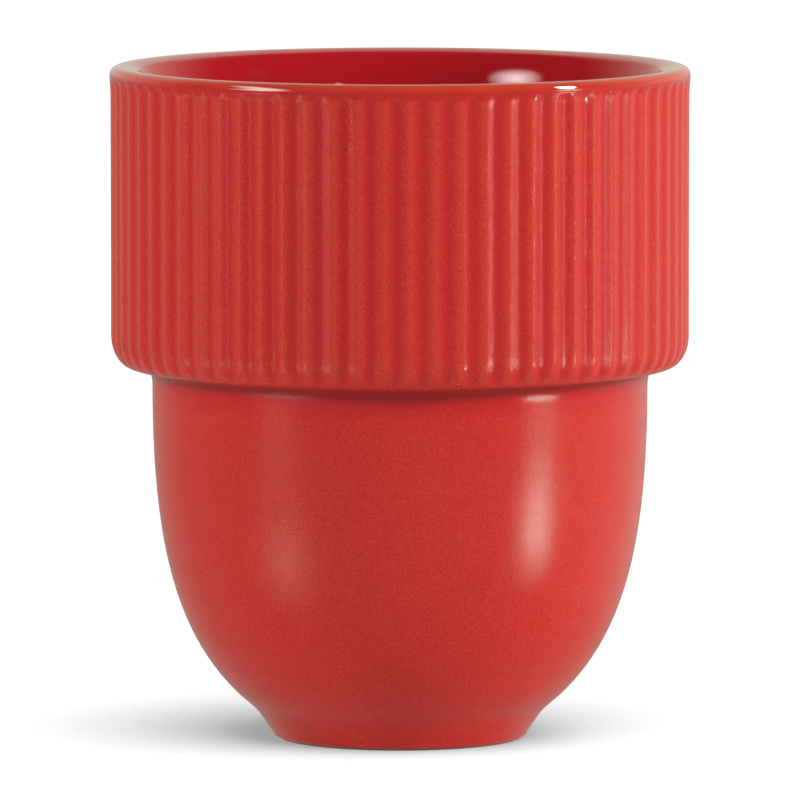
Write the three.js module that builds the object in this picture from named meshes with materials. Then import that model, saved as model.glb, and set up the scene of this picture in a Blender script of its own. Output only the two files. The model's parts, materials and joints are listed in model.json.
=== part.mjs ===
// A handleless stacking mug in glazed stoneware: a wide fluted collar over a smooth round bowl on a foot.
// The clay is one casting. Three separate coats of glaze are fired on it: satin outside, gloss inside and
// over the lip, and a patch under the base. The foot ring between the coats is wiped bare.
// Millimetres, +Z up. The axis is Z, the foot stands on z = 0, and the middle of one flute faces -Y.
import * as THREE from 'three';
import { mergeVertices } from 'three/addons/utils/BufferGeometryUtils.js';

// The finished outside
const HEIGHT = 98.7; // foot to the crown of the lip
const RIM_RADIUS = 42.5; // widest place, over the gloss on the lip
const UNDERSIDE_HEIGHT = 54.7; // flat underside of the collar, which sits on the rim of the mug below
const CORNER_WIDTH = 3.07; // oval rounding between the collar's side and its underside
const CORNER_HEIGHT = 4.6;
const CREASE_FILLET = 0.8; // hollow round between the underside and the bowl
const BOWL_UPPER_PULL = 24; // how far the bowl's side keeps its direction below the crease
const BOWL_LOWER_PULL = 15.6; // and above the foot
const BOWL_SLOPE = 53; // degrees from upright of the bowl's side where it meets the foot
const FOOT_TOP_HEIGHT = 4.3; // where the bowl meets the foot
const FOOT_FLARE = 2.85; // how much wider the foot is there than at the edge of its glaze

// The flutes round the collar
const FLUTES = 72;
const FLUTE_DEPTH = 0.3; // crest to valley, over the glaze
const FLUTE_START = 0.1; // plain satin left between the seam and the tops of the flutes
const FLUTE_RUNOUT = 1.4; // length over which a flute rises out of the collar at its top
const FLUTE_END_ANGLE = 70; // degrees round the lower corner where a flute has run out

// The lip and the inside
const COLLAR_WALL = 5.3; // widest place of the rim to the inside of the collar
const LIP_OUTER_DROP = 1.1; // height of the lip's rounding outside
const LIP_INNER_DROP = 9; // and of its longer rounding inside
const GLOSS_BAND = 0.7; // upright band of gloss below the lip's rounding, outside
const STACK_CLEARANCE = 0.9; // round the bowl of a mug that nests in the collar
const BOWL_WALL = 4;
const LEDGE_THICKNESS = 4; // from the collar's underside to the ledge inside
const FLOOR_ROUND = 8;

// The foot and the base
const WIPE_RADIUS = 18.2; // lower edge of the glaze on the foot's side
const WIPE_HEIGHT = 0.3;
const FOOT_ROUND_WIDTH = 0.8; // glazed rounding above that edge
const FOOT_ROUND_HEIGHT = 1;
const FOOT_EDGE = 0.5; // width of the bare rounding under the wiped edge
const FOOT_RING_WIDTH = 3.6; // flat ring that the mug stands on
const RECESS_HEIGHT = 2.4; // bare clay ceiling of the hollow inside the foot ring
const RECESS_SLOPE = 1; // how far the foot ring's inner wall leans in
const BASE_MARGIN = 0.6; // clay left bare round the base patch

// The coats of glaze
const SATIN_COAT = 0.35;
const RIM_STEP = 0.14; // how far the gloss stands proud of the satin on the crests
const GLOSS_COAT = SATIN_COAT + RIM_STEP;
const POOLING = 0.2; // how much thicker the satin lies in the valleys than on the crests
const BASE_COAT = 0.35;

// How finely round shapes are divided
const ROUND_FACETS = 48;
const GLAZE_FACETS_PER_FLUTE = 4;
const CLAY_FACETS_PER_FLUTE = 2;
const BOWL_STEPS = 6;

const crestRadius = RIM_RADIUS - RIM_STEP;
const collarInside = RIM_RADIUS - COLLAR_WALL;
const lipCrownRadius = RIM_RADIUS - COLLAR_WALL / 2;
const seamHeight = HEIGHT - LIP_OUTER_DROP - GLOSS_BAND;
const creaseHeight = UNDERSIDE_HEIGHT - CREASE_FILLET;
const bowlRadius = collarInside - STACK_CLEARANCE; // just under the collar, where it nests in another mug
const bowlInside = bowlRadius - BOWL_WALL;
const ledgeHeight = UNDERSIDE_HEIGHT + LEDGE_THICKNESS;
const ledgeRound = (collarInside - bowlInside) / 2;

const point = (radius, height) => new THREE.Vector2(radius, height);
const OUTWARD = point(1, 0);
const INWARD = point(-1, 0);
const UP = point(0, 1);
const DOWN = point(0, -1);
const PLAIN = null;

// A station is one level of a surface: a point of the mug's section, the direction that the surface faces
// there, and how much of a flute is cut into it, from 0 at the end of a flute to 1 for the full depth.
// Where there are no flutes, the surface is plain and round.
function station(place, facing, cut = PLAIN) {
  return { place, facing, cut };
}

// Stations along an oval arc about a centre. A hollow arc faces its centre.
function arc(centre, radii, fromDegrees, toDegrees, steps, { hollow = false } = {}) {
  const stations = [];
  for (let step = 0; step <= steps; step += 1) {
    const degrees = THREE.MathUtils.lerp(fromDegrees, toDegrees, step / steps);
    const angle = THREE.MathUtils.degToRad(degrees);
    const direction = point(Math.cos(angle), Math.sin(angle));
    const place = direction.clone().multiply(radii).add(centre);
    const facing = direction.divide(radii).normalize();
    stations.push(station(place, hollow ? facing.negate() : facing));
  }
  return stations;
}

// The direction that a wall faces, where the wall runs upwards along the given tangent.
const rightOf = (tangent) => point(tangent.y, -tangent.x);

// The facing of a corner between two walls, long enough to set a parallel line off both.
const mitre = (first, second) => first.clone().add(second).divideScalar(1 + first.dot(second));

// The same line, set back under a coat of glaze.
function setBack(line, coat) {
  return line.map(({ place, facing, cut }) => (
    station(place.clone().addScaledVector(facing, -coat), facing, cut)
  ));
}

// The bowl's side, from the foot up to the crease.
const bowlSlope = THREE.MathUtils.degToRad(BOWL_SLOPE);
const footTop = point(WIPE_RADIUS + FOOT_FLARE, FOOT_TOP_HEIGHT);
const bowlSide = new THREE.CubicBezierCurve(
  footTop,
  point(Math.sin(bowlSlope), Math.cos(bowlSlope)).multiplyScalar(BOWL_LOWER_PULL).add(footTop),
  point(bowlRadius, creaseHeight - BOWL_UPPER_PULL),
  point(bowlRadius, creaseHeight),
);
const bowlStations = bowlSide.getPoints(BOWL_STEPS).map((place, step) => (
  station(place, rightOf(bowlSide.getTangent(step / BOWL_STEPS)))
));

// The finished outside, upwards from the wiped edge of the foot to the seam under the lip.
function outsideLine() {
  const wipedEdge = point(WIPE_RADIUS, WIPE_HEIGHT);
  const footSide = point(FOOT_ROUND_WIDTH, FOOT_ROUND_HEIGHT).add(wipedEdge);
  const roundFacing = rightOf(footSide.clone().sub(wipedEdge).normalize());
  const footFacing = rightOf(footTop.clone().sub(footSide).normalize());
  const cornerWidth = Math.min(CORNER_WIDTH, crestRadius - bowlRadius - CREASE_FILLET);
  const creaseCentre = point(bowlRadius + CREASE_FILLET, creaseHeight);
  const crease = arc(creaseCentre, point(CREASE_FILLET, CREASE_FILLET), 180, 90, 2, { hollow: true });
  const cornerCentre = point(crestRadius - cornerWidth, UNDERSIDE_HEIGHT + CORNER_HEIGHT);
  const corner = arc(cornerCentre, point(cornerWidth, CORNER_HEIGHT), -90, 0, 4);
  corner.forEach((level, step) => {
    const run = (90 / FLUTE_END_ANGLE) * (1 - step / (corner.length - 1));
    level.cut = run < 1 ? 1 - run ** 2 : PLAIN;
  });
  const fluteTop = seamHeight - FLUTE_START;
  return [
    station(wipedEdge, roundFacing),
    station(footSide, mitre(roundFacing, footFacing)),
    station(footTop, mitre(footFacing, bowlStations[0].facing)),
    ...bowlStations.slice(1),
    ...crease.slice(1),
    ...corner,
    station(point(crestRadius, fluteTop - FLUTE_RUNOUT), OUTWARD, 1),
    station(point(crestRadius, fluteTop), OUTWARD, 0),
    station(point(crestRadius, seamHeight), OUTWARD),
  ];
}

// The finished inside, from the seam over the lip, down the collar and the bowl to the middle of the floor.
function insideLine() {
  const lipOuterCentre = point(lipCrownRadius, HEIGHT - LIP_OUTER_DROP);
  const lipOuterRadii = point(RIM_RADIUS - lipCrownRadius, LIP_OUTER_DROP);
  const lipInnerCentre = point(lipCrownRadius, HEIGHT - LIP_INNER_DROP);
  const lipInnerRadii = point(lipCrownRadius - collarInside, LIP_INNER_DROP);
  const ledgeRadii = point(ledgeRound, ledgeRound);
  const ledgeHollow = point(collarInside - ledgeRound, ledgeHeight + ledgeRound);
  const ledgeEdge = point(bowlInside + ledgeRound, ledgeHeight - ledgeRound);
  const bowl = bowlStations.toReversed().map(({ place, facing }) => (
    station(place.clone().addScaledVector(facing, -BOWL_WALL), facing.clone().negate())
  ));
  const bowlFoot = bowl.at(-1);
  const floorCentre = bowlFoot.place.clone().addScaledVector(bowlFoot.facing, FLOOR_ROUND);
  const floor = arc(floorCentre, point(FLOOR_ROUND, FLOOR_ROUND), -BOWL_SLOPE, -90, 2, { hollow: true });
  return [
    station(point(RIM_RADIUS, seamHeight), OUTWARD),
    ...arc(lipOuterCentre, lipOuterRadii, 0, 90, 3),
    ...arc(lipInnerCentre, lipInnerRadii, 90, 180, 4).slice(1),
    ...arc(ledgeHollow, ledgeRadii, 0, -90, 2, { hollow: true }),
    ...arc(ledgeEdge, ledgeRadii, 90, 180, 2).slice(1),
    ...bowl,
    ...floor.slice(1),
    station(point(0, floor.at(-1).place.y), UP),
  ];
}

// The bare clay under the mug, from the middle of the recess out to the wiped edge.
function baseLine(wipedClay) {
  const ringOuter = wipedClay.x - FOOT_EDGE;
  const ringInner = ringOuter - FOOT_RING_WIDTH;
  return [
    station(point(0, RECESS_HEIGHT), DOWN),
    station(point(ringInner - RECESS_SLOPE, RECESS_HEIGHT), DOWN),
    station(point(ringInner, 0), INWARD),
    ...arc(point(ringOuter, wipedClay.y), point(FOOT_EDGE, wipedClay.y), -90, 0, 2),
  ];
}

// The corners of one level, carried round the axis. The flutes make a wave, set into the surface along its
// facing: u is 0 in the middle of a flute and 1 on the crest beside it.
function ring({ place, facing, cut }, facetsPerFlute, fluteDepth) {
  const count = cut === PLAIN ? ROUND_FACETS : FLUTES * facetsPerFlute;
  if (place.x === 0) {
    return [new THREE.Vector3(0, 0, place.y)];
  }
  return Array.from({ length: count }, (_, index) => {
    const angle = (2 * Math.PI * index) / count;
    const along = (index % facetsPerFlute) / facetsPerFlute;
    const u = 2 * Math.min(along, 1 - along);
    const wave = (1 - Math.cos(Math.PI * u)) / 2;
    const depth = cut === PLAIN ? 0 : fluteDepth * Math.max(0, cut - wave);
    const radius = place.x - facing.x * depth;
    return new THREE.Vector3(radius * Math.cos(angle), radius * Math.sin(angle), place.y - facing.y * depth);
  });
}

// Triangles between two levels that may have different numbers of corners.
function band(lower, upper) {
  const triangles = [];
  const lowerSteps = lower.length > 1 ? lower.length : 0;
  const upperSteps = upper.length > 1 ? upper.length : 0;
  let i = 0;
  let j = 0;
  while (i < lowerSteps || j < upperSteps) {
    const a = lower[i % lower.length];
    const b = upper[j % upper.length];
    const lowerNext = j === upperSteps || (i < lowerSteps && (i + 1) * upperSteps <= (j + 1) * lowerSteps);
    if (lowerNext) {
      triangles.push([a, lower[(i + 1) % lower.length], b]);
      i += 1;
    } else {
      triangles.push([a, upper[(j + 1) % upper.length], b]);
      j += 1;
    }
  }
  return triangles;
}

// The skin along a line of stations, facing to the right of the way that the line runs.
function skin(line, facetsPerFlute = GLAZE_FACETS_PER_FLUTE, fluteDepth = FLUTE_DEPTH) {
  const rings = line.map((level) => ring(level, facetsPerFlute, fluteDepth));
  return rings.slice(1).flatMap((upper, index) => band(rings[index], upper));
}

const turned = (triangles) => triangles.map(([a, b, c]) => [a, c, b]);

// One closed solid out of the skins that bound it.
function solid(name, skins, look) {
  const corners = skins.flat(2).flatMap((corner) => corner.toArray());
  const soup = new THREE.BufferGeometry();
  soup.setAttribute('position', new THREE.Float32BufferAttribute(corners, 3));
  const geometry = mergeVertices(soup);
  geometry.computeVertexNormals();
  const mesh = new THREE.Mesh(geometry, new THREE.MeshStandardMaterial({ metalness: 0, ...look }));
  mesh.name = name;
  return mesh;
}

const outside = outsideLine();
const inside = insideLine();
const clayOutside = setBack(outside, SATIN_COAT);
const clayInside = setBack(inside, GLOSS_COAT);
const base = baseLine(clayOutside[0].place);
const fluted = skin(clayOutside, CLAY_FACETS_PER_FLUTE, FLUTE_DEPTH + POOLING);
const lined = skin(clayInside);

function stonewareBody() {
  return solid('stoneware_body', [skin(base), fluted, lined], { color: '#a9785a', roughness: 0.85 });
}

function outerSatinGlaze() {
  const topEdge = skin([outside.at(-1), clayOutside.at(-1)]);
  const wipedEdge = skin([clayOutside[0], outside[0]]);
  const skins = [skin(outside), topEdge, turned(fluted), wipedEdge];
  return solid('outer_satin_glaze', skins, { color: '#b8322d', roughness: 0.42 });
}

function innerGlossGlaze() {
  const seam = skin([clayInside[0], inside[0]]);
  const skins = [skin(inside), turned(lined), seam];
  return solid('inner_gloss_glaze', skins, { color: '#a01a22', roughness: 0.12 });
}

function baseGlaze() {
  const patchRadius = base[1].place.x - BASE_MARGIN;
  const face = RECESS_HEIGHT - BASE_COAT;
  const patch = [
    station(point(0, face), DOWN),
    station(point(patchRadius - BASE_COAT, face), DOWN),
    station(point(patchRadius, RECESS_HEIGHT), OUTWARD),
    station(point(0, RECESS_HEIGHT), UP),
  ];
  return solid('base_glaze', [skin(patch)], { color: '#b0302c', roughness: 0.3 });
}

const mug = new THREE.Group();
mug.add(stonewareBody(), outerSatinGlaze(), innerGlossGlaze(), baseGlaze());

export default mug;
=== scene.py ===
import json
import math

import bpy
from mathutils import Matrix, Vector, geometry, noise


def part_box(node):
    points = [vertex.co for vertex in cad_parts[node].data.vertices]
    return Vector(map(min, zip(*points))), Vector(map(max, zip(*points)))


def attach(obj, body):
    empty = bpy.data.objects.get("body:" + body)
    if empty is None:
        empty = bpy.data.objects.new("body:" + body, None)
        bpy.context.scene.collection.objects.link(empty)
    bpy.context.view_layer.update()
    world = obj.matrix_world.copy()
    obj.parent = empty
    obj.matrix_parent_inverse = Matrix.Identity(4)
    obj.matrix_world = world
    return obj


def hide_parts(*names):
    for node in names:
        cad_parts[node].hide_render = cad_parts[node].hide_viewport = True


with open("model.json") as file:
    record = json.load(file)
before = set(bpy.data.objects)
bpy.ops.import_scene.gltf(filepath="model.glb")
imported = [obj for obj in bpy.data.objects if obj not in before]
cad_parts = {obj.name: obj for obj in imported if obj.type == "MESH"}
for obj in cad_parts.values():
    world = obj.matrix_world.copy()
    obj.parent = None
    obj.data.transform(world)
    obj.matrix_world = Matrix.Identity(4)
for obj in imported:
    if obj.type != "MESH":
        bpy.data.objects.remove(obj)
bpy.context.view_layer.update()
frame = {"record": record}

# The casting: collar, lip, bowl and foot are one piece of stoneware, cast in a plaster mould.
# Coats of glaze cover all of it but the foot ring, which is wiped bare before it goes into the kiln.
MM = 0.001
seat = next(mount for mount in frame["record"]["mounts"] if mount["name"] == "stacking_seat")
UNDERSIDE = seat["pos_m"][2]
RIM_RADIUS, _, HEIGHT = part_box("inner_gloss_glaze")[1]
COLLAR_WALL = 5.4 * MM
COLLAR_INSIDE = RIM_RADIUS - COLLAR_WALL
RIM_FLARE = 0.14 * MM
CREST_RADIUS = RIM_RADIUS - RIM_FLARE
FLARE_START = 92.5 * MM
LIP_BULGE = 3 * MM
LIP_BULGE_START = -3
LIP_BULGE_END = 8
LIP_SHOULDER = Vector((1.4, 1.1)) * MM
LIP_SLOPE_RADIUS = 6.5 * MM
LIP_SLOPE_END = 112
LIP_EDGE_RADIUS = 0.8 * MM
LIP_EDGE_END = 160
LIP_EDGE_PULL = 2 * MM
LIP_INNER_DROP = 8.5 * MM
LIP_INNER_PULL = 3 * MM
CORNER_WIDTH = 3.07 * MM
CORNER_HEIGHT = 4.6 * MM
CREASE_FILLET = Vector((1.2, 2.8)) * MM
LEDGE_THICKNESS = 4 * MM
LEDGE = UNDERSIDE + LEDGE_THICKNESS
BOWL_SETBACK = 6.2 * MM
BOWL_RADIUS = RIM_RADIUS - BOWL_SETBACK
BOWL_WALL = 4 * MM
BOWL_SLOPE = math.radians(53)
BOWL_LOWER_PULL = 15.2 * MM
BOWL_UPPER_PULL = 22.9 * MM
FLOOR_ROUND = 8 * MM
FOOT_TOP = Vector((21.05, 4.3)) * MM
FOOT_SIDE = Vector((19, 1.3)) * MM
FOOT_PULL = 0.5 * MM
WIPED_EDGE = Vector((18.2, 0.3)) * MM
WIPED_PULL = Vector((0.42, 0.12)) * MM
FOOT_EDGE = 0.5 * MM
FOOT_RING_WIDTH = 3.6 * MM
RECESS_HEIGHT = 2.4 * MM
RECESS_SLOPE = 1 * MM
RECESS_ROUND = 0.5 * MM
RECESS_EDGE_START = 200
SATIN_COAT = 0.35 * MM
GLOSS_COAT = 0.49 * MM
LIP_COAT = 0.3 * MM


def arc(centre, radii, start, end, steps):
    """Points of the mug's section, as radius and height, along an oval arc given in degrees."""
    points = []
    for step in range(steps + 1):
        angle = math.radians(start + (end - start) * step / steps)
        radius = centre[0] + radii[0] * math.cos(angle)
        height = centre[1] + radii[1] * math.sin(angle)
        points.append(Vector((radius, height)))
    return points


def straight(start, end, steps):
    """Points of the mug's section along a straight stretch."""
    return [start.lerp(end, step / steps) for step in range(steps + 1)]


def joined(*stretches):
    """One line out of stretches that each start where the last one ends."""
    line = list(stretches[0])
    for stretch in stretches[1:]:
        line += stretch[1:]
    return line


def facings(line):
    """The direction that the surface faces at each point, to the right of the way that the line runs."""
    found = []
    for index in range(len(line)):
        ahead = line[min(index + 1, len(line) - 1)]
        behind = line[max(index - 1, 0)]
        run = (ahead - behind).normalized()
        found.append(Vector((run.y, -run.x)))
    return found


def set_back(line, depth):
    """The same line, moved into the surface."""
    return [point - facing * depth for point, facing in zip(line, facings(line))]


# The finished outside, from the wiped edge of the foot up to the seam under the lip.
crease_height = UNDERSIDE - CREASE_FILLET.y
bowl = geometry.interpolate_bezier(
    FOOT_TOP,
    FOOT_TOP + Vector((math.sin(BOWL_SLOPE), math.cos(BOWL_SLOPE))) * BOWL_LOWER_PULL,
    Vector((BOWL_RADIUS, crease_height - BOWL_UPPER_PULL)),
    Vector((BOWL_RADIUS, crease_height)),
    30,
)
foot_run = (FOOT_TOP - FOOT_SIDE).normalized()
foot_round = geometry.interpolate_bezier(
    WIPED_EDGE, WIPED_EDGE + WIPED_PULL, FOOT_SIDE - foot_run * FOOT_PULL, FOOT_SIDE, 6
)
foot_side = straight(FOOT_SIDE, FOOT_TOP, 6)
foot_hollow = geometry.interpolate_bezier(foot_side[2], FOOT_TOP, FOOT_TOP, bowl[2], 9)
crease = arc((BOWL_RADIUS + CREASE_FILLET.x, crease_height), CREASE_FILLET, 180, 90, 10)
corner_centre = (CREST_RADIUS - CORNER_WIDTH, UNDERSIDE + CORNER_HEIGHT)
corner = arc(corner_centre, (CORNER_WIDTH, CORNER_HEIGHT), -90, 0, 16)
shoulder_start = math.atan(math.tan(math.radians(LIP_BULGE_END)) * LIP_SHOULDER.y / LIP_SHOULDER.x)
shoulder_rise = LIP_SHOULDER.y * (1 - math.sin(shoulder_start))
bulge_height = HEIGHT - shoulder_rise - LIP_BULGE * math.sin(math.radians(LIP_BULGE_END))
bulge_centre = (RIM_RADIUS - LIP_BULGE, bulge_height)
lip_bulge = arc(bulge_centre, (LIP_BULGE, LIP_BULGE), LIP_BULGE_START, LIP_BULGE_END, 8)
shoulder_centre = (lip_bulge[-1].x - LIP_SHOULDER.x * math.cos(shoulder_start), HEIGHT - LIP_SHOULDER.y)
lip_shoulder = arc(shoulder_centre, LIP_SHOULDER, math.degrees(shoulder_start), 90, 12)
lip_crown = lip_shoulder[-1]
lip_outer = joined(lip_bulge, lip_shoulder)
seam = lip_bulge[0]
flare_foot = Vector((CREST_RADIUS, FLARE_START))
flare_middle = Vector((CREST_RADIUS, (FLARE_START + seam.y) / 2))
outside = joined(
    foot_round,
    foot_side[:3],
    foot_hollow,
    bowl[2:],
    crease,
    straight(crease[-1], corner[0], 1),
    corner,
    straight(corner[-1], flare_foot, 4),
    geometry.interpolate_bezier(flare_foot, flare_middle, flare_middle, seam, 16),
)

# The finished inside, from the seam over the lip, down the collar and the bowl to the middle of the floor.
slope_centre = (lip_crown.x, HEIGHT - LIP_SLOPE_RADIUS)
lip_slope = arc(slope_centre, (LIP_SLOPE_RADIUS, LIP_SLOPE_RADIUS), 90, LIP_SLOPE_END, 8)
edge_turn = math.radians(LIP_SLOPE_END)
edge_centre = lip_slope[-1] - Vector((math.cos(edge_turn), math.sin(edge_turn))) * LIP_EDGE_RADIUS
lip_edge = arc(edge_centre, (LIP_EDGE_RADIUS, LIP_EDGE_RADIUS), LIP_SLOPE_END, LIP_EDGE_END, 8)
lip_inner = geometry.interpolate_bezier(
    lip_edge[-1],
    lip_edge[-1] + (lip_edge[-1] - lip_edge[-2]).normalized() * LIP_EDGE_PULL,
    Vector((COLLAR_INSIDE, HEIGHT - LIP_INNER_DROP + LIP_INNER_PULL)),
    Vector((COLLAR_INSIDE, HEIGHT - LIP_INNER_DROP)),
    16,
)
bowl_inside = set_back(bowl, BOWL_WALL)[::-1]
ledge_round = (COLLAR_INSIDE - bowl_inside[0].x) / 2
ledge_radii = (ledge_round, ledge_round)
ledge_hollow = arc((COLLAR_INSIDE - ledge_round, LEDGE + ledge_round), ledge_radii, 0, -90, 8)
ledge_edge = arc((bowl_inside[0].x + ledge_round, LEDGE - ledge_round), ledge_radii, 90, 180, 8)
floor_centre = bowl_inside[-1] + Vector((-math.cos(BOWL_SLOPE), math.sin(BOWL_SLOPE))) * FLOOR_ROUND
floor_round = arc(floor_centre, (FLOOR_ROUND, FLOOR_ROUND), -math.degrees(BOWL_SLOPE), -90, 8)
inside = joined(
    lip_outer,
    lip_slope,
    lip_edge,
    lip_inner,
    straight(lip_inner[-1], ledge_hollow[0], 10),
    ledge_hollow,
    ledge_edge,
    straight(ledge_edge[-1], bowl_inside[0], 2),
    bowl_inside,
    floor_round,
    straight(floor_round[-1], Vector((0, floor_round[-1].y)), 6),
)

# The bare clay underneath, from the middle of the recess out to the wiped edge.
wiped_clay = set_back(outside, SATIN_COAT)[0]
ring_outer = wiped_clay.x - FOOT_EDGE
ring_inner = ring_outer - FOOT_RING_WIDTH
recess_rim = Vector((ring_inner - RECESS_SLOPE, RECESS_HEIGHT))
recess_centre = (ring_inner + RECESS_ROUND, RECESS_ROUND)
ring_edge = arc(recess_centre, (RECESS_ROUND, RECESS_ROUND), RECESS_EDGE_START, 270, 4)
foot_edge = arc((ring_outer, wiped_clay.y), (FOOT_EDGE, wiped_clay.y), -90, 0, 6)
base = joined(
    straight(Vector((0, RECESS_HEIGHT)), recess_rim, 6),
    straight(recess_rim, ring_edge[0], 4),
    ring_edge,
    straight(ring_edge[-1], foot_edge[0], 4),
    foot_edge,
)

# The flutes are pressed by the mould: soft even waves that end in round scoops under the lip.
FLUTES = 72
FLUTE_DEPTH = 0.42 * MM
FLUTE_GAP = 0.1 * MM
FLUTE_TOP = seam.y - FLUTE_GAP
FLUTE_RUNOUT = 1.4 * MM
FLUTE_END_ANGLE = math.radians(66)
FLUTE_SOFTNESS = 0.05
POOLING = 0.2 * MM
FLUTE_HALF_ANGLE = math.pi / FLUTES


def flute_fade(height):
    """How far a flute has run out at a height: 0 where it is at its full depth, 1 where it has ended."""
    rise = (height - FLUTE_TOP + FLUTE_RUNOUT) / FLUTE_RUNOUT
    corner_drop = (UNDERSIDE + CORNER_HEIGHT - height) / CORNER_HEIGHT
    turn = math.asin(max(0, min(1, corner_drop))) / FLUTE_END_ANGLE
    return max(0, rise, turn) ** 3


def flute_wave(across):
    """The wave across one flute, from 1 in the middle of its hollow to 0 on the crests, at -1 and 1."""
    return (1 + math.cos(math.pi * across)) / 2


def flute_cut(across, height):
    """The share of a flute's full depth that is cut away at a place on the collar."""
    left = flute_wave(across) - flute_fade(height)
    return (left + math.hypot(left, FLUTE_SOFTNESS)) / 2


def levels(line, flute_depth=0.0):
    """A line as points, facings and the depth of the flutes in it, ready to be spun."""
    return [(point, facing, flute_depth) for point, facing in zip(line, facings(line))]


SHARP_EDGE = math.radians(50)
WARP = 0.0012
WARP_SPAN = 30 * MM
MERGE_DISTANCE = 0.001 * MM


def spun_piece(name, section, columns):
    """Shapes a grid into one flute's wedge, spins it round the axis and lets the kiln warp it a little."""
    rows = len(section) - 1
    bpy.ops.object.select_all(action="DESELECT")
    bpy.ops.mesh.primitive_grid_add(x_subdivisions=columns, y_subdivisions=rows, size=1)
    piece = bpy.context.object
    piece.name = name
    for vertex in piece.data.vertices:
        across = math.sin(math.pi * vertex.co.x)
        point, facing, flute_depth = section[round((vertex.co.y + 0.5) * rows)]
        depth = flute_depth * flute_cut(across, point.y) if flute_depth else 0
        place = point - facing * depth
        angle = across * FLUTE_HALF_ANGLE
        vertex.co = (place.x * math.cos(angle), place.x * math.sin(angle), place.y)
    bpy.ops.object.mode_set(mode="EDIT")
    bpy.ops.mesh.select_all(action="SELECT")
    whole_turn = 2 * math.pi
    bpy.ops.mesh.spin(
        steps=FLUTES - 1,
        dupli=True,
        angle=whole_turn * (FLUTES - 1) / FLUTES,
        center=(0, 0, 0),
        axis=(0, 0, 1),
    )
    bpy.ops.mesh.select_all(action="SELECT")
    bpy.ops.mesh.remove_doubles(threshold=MERGE_DISTANCE)
    bpy.ops.mesh.normals_make_consistent(inside=False)
    bpy.ops.object.mode_set(mode="OBJECT")
    bpy.ops.object.shade_smooth_by_angle(angle=SHARP_EDGE)
    for vertex in piece.data.vertices:
        swell = noise.noise(vertex.co / WARP_SPAN)
        vertex.co.xy *= 1 - WARP * (1 + swell) / 2
    return piece


def add_node(tree, kind, inputs=None, **settings):
    """Adds a node and fills its sockets with plain values or with links from other nodes' sockets."""
    made = tree.nodes.new(kind)
    for name, value in settings.items():
        setattr(made, name, value)
    for name, value in (inputs or {}).items():
        if isinstance(value, bpy.types.NodeSocket):
            tree.links.new(value, made.inputs[name])
        else:
            made.inputs[name].default_value = value
    return made


def dress(piece, name):
    """Gives a piece a new material, and returns its node tree and shader."""
    material = bpy.data.materials.new(name)
    material.use_nodes = True
    piece.data.materials.clear()
    piece.data.materials.append(material)
    return material.node_tree, material.node_tree.nodes["Principled BSDF"]


MIX_A, MIX_B, MIX_RESULT = 6, 7, 2


def mix_colors(tree, factor, first, second):
    """A colour between two others."""
    made = add_node(tree, "ShaderNodeMix", {0: factor, MIX_A: first, MIX_B: second}, data_type="RGBA")
    return made.outputs[MIX_RESULT]


CLAY_PALE = (0.48, 0.27, 0.16, 1)
CLAY_DARK = (0.30, 0.14, 0.08, 1)
CLAY_MOTTLE = 1.2 * MM
CLAY_GRIT = 0.25 * MM
CLAY_GRIT_DEPTH = 0.03 * MM
CLAY_GRIT_STRENGTH = 0.6
CLAY_ROUGHNESS = 0.85

clay_outside = set_back(outside, SATIN_COAT)[::2]
lip_points = len(lip_outer)
clay_inside = set_back(inside, LIP_COAT)[:lip_points] + set_back(inside, GLOSS_COAT)[lip_points:]
casting = spun_piece(
    "clay_casting",
    levels(base) + levels(clay_outside, FLUTE_DEPTH + POOLING)[1:] + levels(clay_inside),
    columns=4,
)
tree, shader = dress(casting, "bare_stoneware")
coordinates = add_node(tree, "ShaderNodeTexCoord").outputs["Object"]
mottle = add_node(
    tree, "ShaderNodeTexNoise", {"Vector": coordinates, "Scale": 1 / CLAY_MOTTLE, "Detail": 4.0}
)
grit = add_node(tree, "ShaderNodeTexNoise", {"Vector": coordinates, "Scale": 1 / CLAY_GRIT, "Detail": 2.0})
tree.links.new(mix_colors(tree, mottle.outputs["Fac"], CLAY_DARK, CLAY_PALE), shader.inputs["Base Color"])
bump = add_node(
    tree,
    "ShaderNodeBump",
    {"Height": grit.outputs["Fac"], "Strength": CLAY_GRIT_STRENGTH, "Distance": CLAY_GRIT_DEPTH},
)
tree.links.new(bump.outputs["Normal"], shader.inputs["Normal"])
shader.inputs["Roughness"].default_value = CLAY_ROUGHNESS
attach(casting, "root")
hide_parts("stoneware_body")

# The satin glaze: a red coat sprayed on the outside and fired to a soft sheen.
# It runs off the crests and the collar's lower edge, where it breaks to orange,
# and it pools deeper and darker in the flutes and in the crease under the collar.
# In the crease that darkening is also painted shade, for the shadow under the collar's overhang.
SATIN_THIN = (0.70, 0.054, 0.030, 1)
SATIN_BODY = (0.66, 0.030, 0.024, 1)
SATIN_POOLED = (0.60, 0.018, 0.020, 1)
# The darkest colour is painted shade for the crease under the collar.
SATIN_CREASE_SHADE = (0.44, 0.012, 0.014, 1)
SATIN_MOTTLE = 3 * MM
SATIN_BLOTCHES = 0.3
SATIN_GRAIN = 0.3 * MM
SATIN_FLECKS = 2
CREST_BREAK = 0.35
HOLLOW_POOL = 0.4
CREASE_POOL_AND_SHADE = 1.5
CREASE_SHADE_REACH = 4 * MM
TOP_DARKENING = 1.2
TOP_DARKENING_REACH = 1 * MM
UNCUT_FALL = 8
EDGE_BREAK = 0.5
EDGE_REACH = 0.6 * MM
THIN_COAT = 0.3
PLAIN_COAT = 0.5
POOLED_COAT = 0.75
CREASE_SHADE_START = 1.05
CREASE_SHADE_FULL = 1.5
THIN_ROUGHNESS = 0.28
POOLED_ROUGHNESS = 0.2
BOWL_DULLNESS = 0.9
COLLAR_DULLNESS = 0.8
MELTED_DULLNESS = 0.4
LOW_GRAIN = 0.35
HIGH_GRAIN = 0.65
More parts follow.
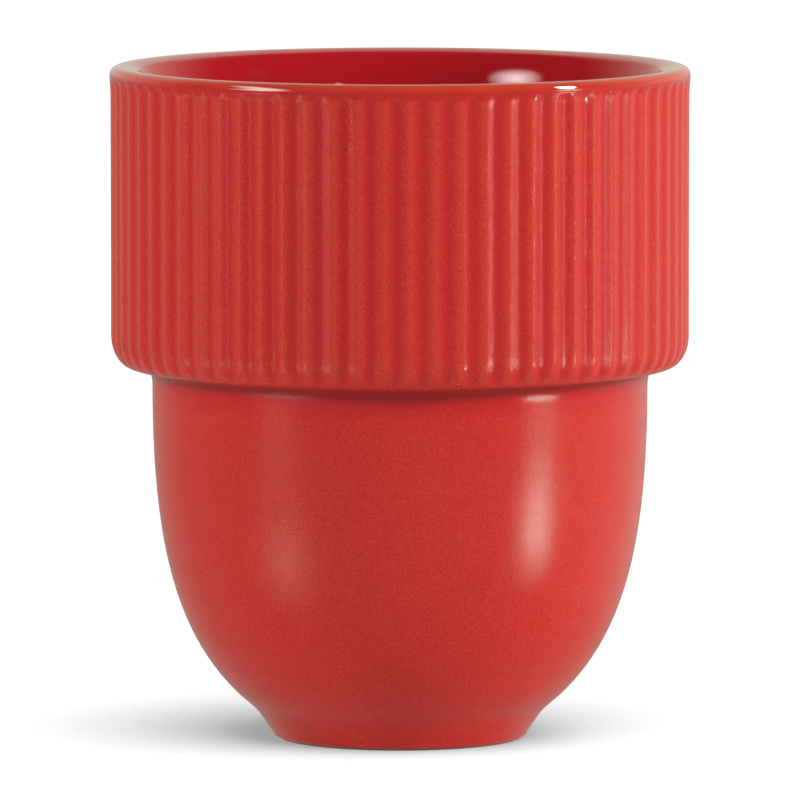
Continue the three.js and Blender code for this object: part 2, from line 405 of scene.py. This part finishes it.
GRAIN_DULLEST = 1.2
GRAIN_BRIGHTEST = 0.8
BOWL_SKIN = 0.75
COLLAR_SKIN = 1.0
SKIN_DEPTH = 0.05 * MM
SATIN_SPECULAR = 0.35
NOISE_MIDDLE = 0.5


def ranged(tree, value, start, end, low=0.0, high=1.0):
    """A number that runs from low to high while another one runs from start to end."""
    return add_node(tree, "ShaderNodeMapRange", {0: value, 1: start, 2: end, 3: low, 4: high}).outputs[0]


def worked_out(tree, operation, *values):
    """The result of a sum with two or three numbers."""
    return add_node(tree, "ShaderNodeMath", dict(enumerate(values)), operation=operation).outputs[0]


def build_glaze_group():
    """The colour of a glaze by its thickness, from thin to pooled, and the grain of its skin."""
    group = bpy.data.node_groups.new("glaze_colour", "ShaderNodeTree")
    for name, kind in (
        ("Thickness", "NodeSocketFloat"),
        ("Thin", "NodeSocketColor"),
        ("Body", "NodeSocketColor"),
        ("Pooled", "NodeSocketColor"),
        ("Mottle Scale", "NodeSocketFloat"),
        ("Grain Scale", "NodeSocketFloat"),
        ("Blotches", "NodeSocketFloat"),
        ("Flecks", "NodeSocketFloat"),
    ):
        group.interface.new_socket(name, in_out="INPUT", socket_type=kind)
    group.interface.new_socket("Color", in_out="OUTPUT", socket_type="NodeSocketColor")
    group.interface.new_socket("Grain", in_out="OUTPUT", socket_type="NodeSocketFloat")
    given = group.nodes.new("NodeGroupInput").outputs
    coordinates = add_node(group, "ShaderNodeTexCoord").outputs["Object"]
    mottle = add_node(
        group, "ShaderNodeTexNoise", {"Vector": coordinates, "Scale": given["Mottle Scale"], "Detail": 3.0}
    )
    grain = add_node(
        group, "ShaderNodeTexNoise", {"Vector": coordinates, "Scale": given["Grain Scale"], "Detail": 2.0}
    )
    drift = worked_out(group, "SUBTRACT", mottle.outputs["Fac"], NOISE_MIDDLE)
    blotched = worked_out(group, "MULTIPLY_ADD", drift, given["Blotches"], given["Thickness"])
    fleck = worked_out(group, "SUBTRACT", grain.outputs["Fac"], NOISE_MIDDLE)
    thickness = worked_out(group, "MULTIPLY_ADD", fleck, given["Flecks"], blotched)
    thinned = ranged(group, thickness, PLAIN_COAT, 0.0)
    pooled = ranged(group, thickness, PLAIN_COAT, 1.0)
    broken = mix_colors(group, thinned, given["Body"], given["Thin"])
    color = mix_colors(group, pooled, broken, given["Pooled"])
    add_node(group, "NodeGroupOutput", {"Color": color, "Grain": grain.outputs["Fac"]})
    return group


glaze_group = build_glaze_group()


def add_glaze(tree, thin, body, pooled, mottle, blotches, grain, flecks):
    """Places the shared glaze colour in a material, driven by the coat's own thickness."""
    thickness = add_node(tree, "ShaderNodeAttribute", attribute_name="thickness")
    made = add_node(tree, "ShaderNodeGroup", node_tree=glaze_group)
    tree.links.new(thickness.outputs["Fac"], made.inputs["Thickness"])
    for name, value in (
        ("Thin", thin),
        ("Body", body),
        ("Pooled", pooled),
        ("Mottle Scale", 1 / mottle),
        ("Grain Scale", 1 / grain),
        ("Blotches", blotches),
        ("Flecks", flecks),
    ):
        made.inputs[name].default_value = value
    return made.outputs


def across_flute(vertex):
    """Where a point lies across its flute, from -1 to 1, with 0 in the middle of the hollow."""
    turn = math.atan2(vertex.co.y, vertex.co.x) / FLUTE_HALF_ANGLE
    return (turn + 1) % 2 - 1


satin = spun_piece(
    "satin_coat",
    levels(outside, FLUTE_DEPTH)
    + levels(clay_outside, FLUTE_DEPTH + POOLING)[::-1]
    + levels(outside, FLUTE_DEPTH)[:1],
    columns=10,
)
thickness = satin.data.attributes.new("thickness", "FLOAT", "POINT")
for vertex, item in zip(satin.data.vertices, thickness.data):
    across = across_flute(vertex)
    wave = flute_wave(across)
    strength = max(0, 1 - flute_fade(vertex.co.z))
    # Painted shade: the coat is made thicker, and so darker, in the crease below the collar's underside.
    # This stands for pooled glaze and for the collar's shadow.
    below = (UNDERSIDE - vertex.co.z) / CREASE_SHADE_REACH
    crease_pool_and_shade = max(0, 1 - below) if below > 0 else 0
    above = (vertex.co.z - UNDERSIDE) / EDGE_REACH
    edge_share = max(0, 1 - above) if above > 0 else 0
    uncut = max(0, 1 - UNCUT_FALL * flute_cut(across, vertex.co.z))
    # Within a millimetre under the seam, outside the flute scoops, the coat is made thicker and so darker,
    # giving a scalloped dark band above the flute tops.
    top_darkening_share = max(0, 1 - (seam.y - vertex.co.z) / TOP_DARKENING_REACH)
    item.value = PLAIN_COAT + strength * (HOLLOW_POOL * wave - CREST_BREAK * (1 - wave))
    item.value = min(1, item.value + TOP_DARKENING * uncut * top_darkening_share)
    item.value += CREASE_POOL_AND_SHADE * crease_pool_and_shade - EDGE_BREAK * edge_share
tree, shader = dress(satin, "satin_glaze")
glaze = add_glaze(
    tree,
    SATIN_THIN,
    SATIN_BODY,
    SATIN_POOLED,
    SATIN_MOTTLE,
    SATIN_BLOTCHES,
    SATIN_GRAIN,
    SATIN_FLECKS,
)
coat = add_node(tree, "ShaderNodeAttribute", attribute_name="thickness").outputs["Fac"]
# Painted shade: past a thickness that only the crease reaches, the colour darkens further to the crease
# shade colour.
crease_shade = ranged(tree, coat, CREASE_SHADE_START, CREASE_SHADE_FULL)
tree.links.new(mix_colors(tree, crease_shade, glaze["Color"], SATIN_CREASE_SHADE), shader.inputs["Base Color"])
coordinates = add_node(tree, "ShaderNodeTexCoord").outputs["Object"]
level = add_node(tree, "ShaderNodeSeparateXYZ", {0: coordinates}).outputs["Z"]
collar_end = UNDERSIDE + CORNER_HEIGHT
skin = ranged(tree, level, UNDERSIDE, collar_end, BOWL_SKIN, COLLAR_SKIN)
bump = add_node(
    tree, "ShaderNodeBump", {"Height": glaze["Grain"], "Strength": skin, "Distance": SKIN_DEPTH}
)
tree.links.new(bump.outputs["Normal"], shader.inputs["Normal"])
sheen = ranged(tree, coat, THIN_COAT, POOLED_COAT, THIN_ROUGHNESS, POOLED_ROUGHNESS)
collar = ranged(tree, level, UNDERSIDE, collar_end, BOWL_DULLNESS, COLLAR_DULLNESS)
melt = ranged(tree, level, FLUTE_TOP - FLUTE_RUNOUT, FLUTE_TOP, 1.0, MELTED_DULLNESS)
smooth = worked_out(tree, "MULTIPLY", collar, melt)
rough = worked_out(tree, "MULTIPLY", sheen, smooth)
speckle = ranged(tree, glaze["Grain"], LOW_GRAIN, HIGH_GRAIN, GRAIN_DULLEST, GRAIN_BRIGHTEST)
grained = worked_out(tree, "MULTIPLY", rough, speckle)
tree.links.new(grained, shader.inputs["Roughness"])
shader.inputs["Specular IOR Level"].default_value = SATIN_SPECULAR
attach(satin, "root")
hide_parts("outer_satin_glaze")

# The gloss glaze: a deep red coat poured into the mug and turned out, so that it lines the inside
# and the lip. It thins over the outer edge of the lip and meets the satin just above the flutes.
GLOSS_THIN = (0.70, 0.065, 0.030, 1)
GLOSS_BODY = (0.60, 0.022, 0.022, 1)
GLOSS_POOLED = (0.56, 0.009, 0.016, 1)
GLOSS_MOTTLE = 6 * MM
GLOSS_BLOTCHES = 0.3
GLOSS_GRAIN = 0.6 * MM
GLOSS_FLECKS = 0.3
GLOSS_SKIN = 0.15
GLOSS_SKIN_DEPTH = 0.02 * MM
GLOSS_LOW_GRAIN = 0.3
GLOSS_HIGH_GRAIN = 0.7
GLOSS_SMOOTHEST = 0.06
GLOSS_DULLEST = 0.1
INSIDE_POOL = 0.5
OUTWARD_RISE = 4
LIP_BREAK = 0.55
LIP_BREAK_START = 97.1 * MM
SEAM_POOL = 0.4
SEAM_REACH = 0.4 * MM

gloss = spun_piece("gloss_coat", levels(clay_inside)[::-1] + levels(inside), columns=2)
thickness = gloss.data.attributes.new("thickness", "FLOAT", "POINT")
for vertex, item in zip(gloss.data.vertices, thickness.data):
    beyond_crown = vertex.co.xy.length - lip_crown.x
    outward = max(0, min(1, OUTWARD_RISE * beyond_crown / (RIM_RADIUS - lip_crown.x)))
    upward = max(0, (vertex.co.z - LIP_BREAK_START) / (HEIGHT - LIP_BREAK_START))
    seam_share = max(0, 1 - abs(vertex.co.z - seam.y) / SEAM_REACH) * outward
    pool = INSIDE_POOL * (1 - outward)
    item.value = PLAIN_COAT + pool - LIP_BREAK * outward * upward + SEAM_POOL * seam_share
tree, shader = dress(gloss, "gloss_glaze")
glaze = add_glaze(
    tree,
    GLOSS_THIN,
    GLOSS_BODY,
    GLOSS_POOLED,
    GLOSS_MOTTLE,
    GLOSS_BLOTCHES,
    GLOSS_GRAIN,
    GLOSS_FLECKS,
)
tree.links.new(glaze["Color"], shader.inputs["Base Color"])
bump = add_node(
    tree,
    "ShaderNodeBump",
    {"Height": glaze["Grain"], "Strength": GLOSS_SKIN, "Distance": GLOSS_SKIN_DEPTH},
)
tree.links.new(bump.outputs["Normal"], shader.inputs["Normal"])
sheen = ranged(
    tree, glaze["Grain"], GLOSS_LOW_GRAIN, GLOSS_HIGH_GRAIN, GLOSS_SMOOTHEST, GLOSS_DULLEST
)
tree.links.new(sheen, shader.inputs["Roughness"])
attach(gloss, "root")
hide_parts("inner_gloss_glaze")

# The base patch: satin glaze left in the recess under the foot, inside the wiped ring.
# It is sprayed on with the rest of the coat, and wiping the ring bare cuts it off.
BASE_COAT = 0.35 * MM
BASE_MARGIN = 0.6 * MM
BASE_EDGE_SHARPNESS = 8
patch_radius = recess_rim.x - BASE_MARGIN
patch_edge = arc((patch_radius - BASE_COAT, RECESS_HEIGHT), (BASE_COAT, BASE_COAT), -90, 0, 6)
patch_face = straight(Vector((0, RECESS_HEIGHT - BASE_COAT)), patch_edge[0], 8)
patch_back = straight(patch_edge[-1], Vector((0, RECESS_HEIGHT)), 4)
base_patch = spun_piece("base_patch", levels(joined(patch_face, patch_edge, patch_back)), columns=2)
thickness = base_patch.data.attributes.new("thickness", "FLOAT", "POINT")
for vertex, item in zip(base_patch.data.vertices, thickness.data):
    rim_share = vertex.co.xy.length / patch_radius
    edge_share = rim_share ** BASE_EDGE_SHARPNESS
    item.value = PLAIN_COAT + HOLLOW_POOL - (HOLLOW_POOL + CREST_BREAK) * edge_share
base_patch.data.materials.append(satin.data.materials[0])
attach(base_patch, "root")
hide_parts("base_glaze")

# The floor: a plain white sweep that fills the picture, with a painted shadow of the mug round its foot.
# It glows for the camera, so that it stays white, and the glazes don't mirror it.
FLOOR_SIZE = 12
FLOOR_GAP = 0.01 * MM
FLOOR_GREY = (0.9, 0.9, 0.9, 1)
SHADOW_REACH = 0.056
SHADOW_LEAN = (0.3, -0.6, 1)
SHADOW_CLOSED = 0.32
SHADOW_OPEN = 0.8
SHADOW_DEEPEST = 0.36
FLOOR_GLOW = 1.06
bpy.ops.object.select_all(action="DESELECT")
bpy.ops.mesh.primitive_plane_add(size=FLOOR_SIZE)
floor = bpy.context.object
floor.name = "white_floor"
floor.location.z = -FLOOR_GAP
tree, shader = dress(floor, "white_floor")
shader.inputs["Base Color"].default_value = FLOOR_GREY
shader.inputs["Roughness"].default_value = 1
shader.inputs["Specular IOR Level"].default_value = 0
lean = add_node(tree, "ShaderNodeCombineXYZ", dict(zip("XYZ", SHADOW_LEAN)))
upwards = add_node(tree, "ShaderNodeVectorMath", {0: lean.outputs[0]}, operation="NORMALIZE")
# Painted shadow: the glow that the camera sees dims where ambient occlusion, leaned to the right and
# towards the camera, finds the mug close by.
shade = add_node(
    tree, "ShaderNodeAmbientOcclusion", {"Distance": SHADOW_REACH, "Normal": upwards.outputs[0]}
)
glow = ranged(tree, shade.outputs["AO"], SHADOW_CLOSED, SHADOW_OPEN, SHADOW_DEEPEST, FLOOR_GLOW)
white = add_node(tree, "ShaderNodeEmission", {"Strength": glow})
camera_ray = add_node(tree, "ShaderNodeLightPath").outputs["Is Camera Ray"]
mixed = add_node(tree, "ShaderNodeMixShader", {0: camera_ray, 1: shader.outputs[0], 2: white.outputs[0]})
tree.links.new(mixed.outputs[0], tree.nodes["Material Output"].inputs["Surface"])
floor.active_material.cycles.emission_sampling = "NONE"
floor.visible_glossy = False

# The light: a softbox on each side and one above in a dim room, and the bright cards that the glazes
# mirror. The cards show only in reflections and cast no shadow.
LIGHT_DISTANCE = 1.2
ROOM_LIGHT = 0.1
BACKDROP_LIGHT = 0.7
BACKDROP_START = 0.1
BACKDROP_FULL = 0.6
BACKDROP_TOP = 0.9
BACKDROP_FADE = 0.6
TABLE_LIGHT = 0.44
HORIZON_BLUR = 0.06
WHITE = (1, 1, 1, 1)
ROOM_WHITE = (0.9, 0.96, 0.84, 1)
GLARE_WHITE = (0.5, 1, 0.84, 1)


def towards(azimuth, elevation, distance=LIGHT_DISTANCE):
    """A place round the mug, in degrees. Azimuth 0 is the camera's side and 90 is on its right."""
    turn = math.radians(azimuth)
    rise = math.radians(elevation)
    level = math.cos(rise)
    return distance * Vector((math.sin(turn) * level, -math.cos(turn) * level, math.sin(rise)))


def facing(direction):
    """The turn of a lamp or a card that looks back along a direction."""
    return direction.to_track_quat("Z", "Y").to_euler()


def seen_size(degrees, distance=LIGHT_DISTANCE):
    """The size of something that spans an angle at a distance."""
    return 2 * distance * math.tan(math.radians(degrees / 2))


def softbox(name, azimuth, elevation, width, height, irradiance):
    """A soft lamp that lights the mug. Its irradiance is what a white surface that faces it gives back."""
    lamp = bpy.data.lights.new(name, "AREA")
    lamp.shape = "RECTANGLE"
    lamp.size = seen_size(width)
    lamp.size_y = seen_size(height)
    lamp.energy = irradiance * (math.pi * LIGHT_DISTANCE) ** 2
    box = bpy.data.objects.new(name, lamp)
    bpy.context.scene.collection.objects.link(box)
    box.location = towards(azimuth, elevation)
    box.rotation_euler = facing(box.location)
    box.visible_camera = False
    box.visible_glossy = False


def card(
    name,
    azimuth,
    elevation,
    width,
    height,
    radiance,
    fade_width=0.5,
    color=GLARE_WHITE,
    aim=Vector(),
    distance=LIGHT_DISTANCE,
):
    """A bright card that only shows where a glaze mirrors it. It fades out towards its edges."""
    bpy.ops.object.select_all(action="DESELECT")
    bpy.ops.mesh.primitive_plane_add(size=1)
    made = bpy.context.object
    made.name = name
    direction = towards(azimuth, elevation, distance)
    made.location = aim + direction
    made.rotation_euler = facing(direction)
    made.scale = (seen_size(width, distance), seen_size(height, distance), 1)
    tree, _ = dress(made, name)
    coordinates = add_node(tree, "ShaderNodeTexCoord").outputs["Object"]
    doubled = add_node(tree, "ShaderNodeVectorMath", {0: coordinates, "Scale": 2.0}, operation="SCALE")
    fade = add_node(
        tree, "ShaderNodeTexGradient", {"Vector": doubled.outputs[0]}, gradient_type="SPHERICAL"
    )
    glow = ranged(tree, fade.outputs["Fac"], 0.0, fade_width, 0.0, radiance)
    white = add_node(tree, "ShaderNodeEmission", {"Color": color, "Strength": glow})
    clear = add_node(tree, "ShaderNodeBsdfTransparent")
    veil = add_node(tree, "ShaderNodeAddShader", {0: white.outputs[0], 1: clear.outputs[0]})
    tree.links.new(veil.outputs[0], tree.nodes["Material Output"].inputs["Surface"])
    made.active_material.cycles.emission_sampling = "NONE"
    made.visible_camera = False
    made.visible_diffuse = False
    made.visible_transmission = False
    made.visible_shadow = False


softbox("right_softbox", 73, 19, 12, 8, 0.68)
softbox("left_softbox", -60, 24, 24, 8, 0.41)
softbox("top_softbox", 0, 90, 40, 40, 0.2)
LEFT_LIP = Vector((-18.6, -37.7, 97.8)) * MM
RIGHT_LIP = Vector((24, -35, 97.6)) * MM
card("right_card", 70, -15.2, 5.4, 7, 135)
card("right_collar_card", 70, -3.5, 12, 5, 10)
card("right_inside_card", 70, 7, 14, 8, 10)
card("right_lip_card", 78, 30, 30, 44, 50, fade_width=0.25, aim=RIGHT_LIP, distance=0.008)
card("right_side_card", 115, -5, 110, 40, 0.26)
card("left_card_glow", -58, -22.5, 29, 16, 3.5)
card("left_collar_card", -57, -4.5, 18, 6, 4)
card("left_inside_card", -57.5, 11.8, 31, 19, 18, fade_width=1, color=WHITE, aim=LEFT_LIP, distance=0.6)
card("left_lip_card", -63, 30, 92, 44, 14, fade_width=0.7, aim=LEFT_LIP, distance=0.006)
NUMBER_A, NUMBER_B = 2, 3
world = bpy.data.worlds.new("studio")
world.use_nodes = True
tree = world.node_tree
direction = add_node(tree, "ShaderNodeTexCoord").outputs["Generated"]
way = add_node(tree, "ShaderNodeSeparateXYZ", {0: direction}).outputs
behind = ranged(tree, way["Y"], BACKDROP_START, BACKDROP_FULL, 0.0, BACKDROP_LIGHT)
low = ranged(tree, way["Z"], BACKDROP_TOP, BACKDROP_FADE)
backdrop = worked_out(tree, "MULTIPLY_ADD", behind, low, ROOM_LIGHT)
over_table = ranged(tree, way["Z"], -HORIZON_BLUR, HORIZON_BLUR)
studio = add_node(tree, "ShaderNodeMix", {0: over_table, NUMBER_A: TABLE_LIGHT, NUMBER_B: backdrop})
camera_ray = add_node(tree, "ShaderNodeLightPath").outputs["Is Camera Ray"]
seen = add_node(tree, "ShaderNodeMix", {0: camera_ray, NUMBER_A: studio.outputs[0], NUMBER_B: 1.0})
room = tree.nodes["Background"]
tree.links.new(mix_colors(tree, camera_ray, ROOM_WHITE, WHITE), room.inputs["Color"])
tree.links.new(seen.outputs[0], room.inputs["Strength"])
bpy.context.scene.world = world
bpy.context.scene.view_settings.view_transform = "Standard"

# The camera: a long lens, a little above the rim, that looks at the middle of the mug.
# It stands far off and only slightly high, so the rim shows as a narrow oval.
CAMERA_DISTANCE = 1.83
CAMERA_ELEVATION = 5.36
CAMERA_AZIMUTH = 0.8
CAMERA_FIELD = math.radians(3.67)
AIM = Vector((0, 0, 49.6 * MM))
camera_data = bpy.data.cameras.new("camera")
camera_data.angle = CAMERA_FIELD
camera = bpy.data.objects.new("camera", camera_data)
bpy.context.scene.collection.objects.link(camera)
camera.location = AIM + towards(CAMERA_AZIMUTH, CAMERA_ELEVATION, CAMERA_DISTANCE)
camera.rotation_euler = (camera.location - AIM).to_track_quat("Z", "Y").to_euler()
bpy.context.scene.camera = camera
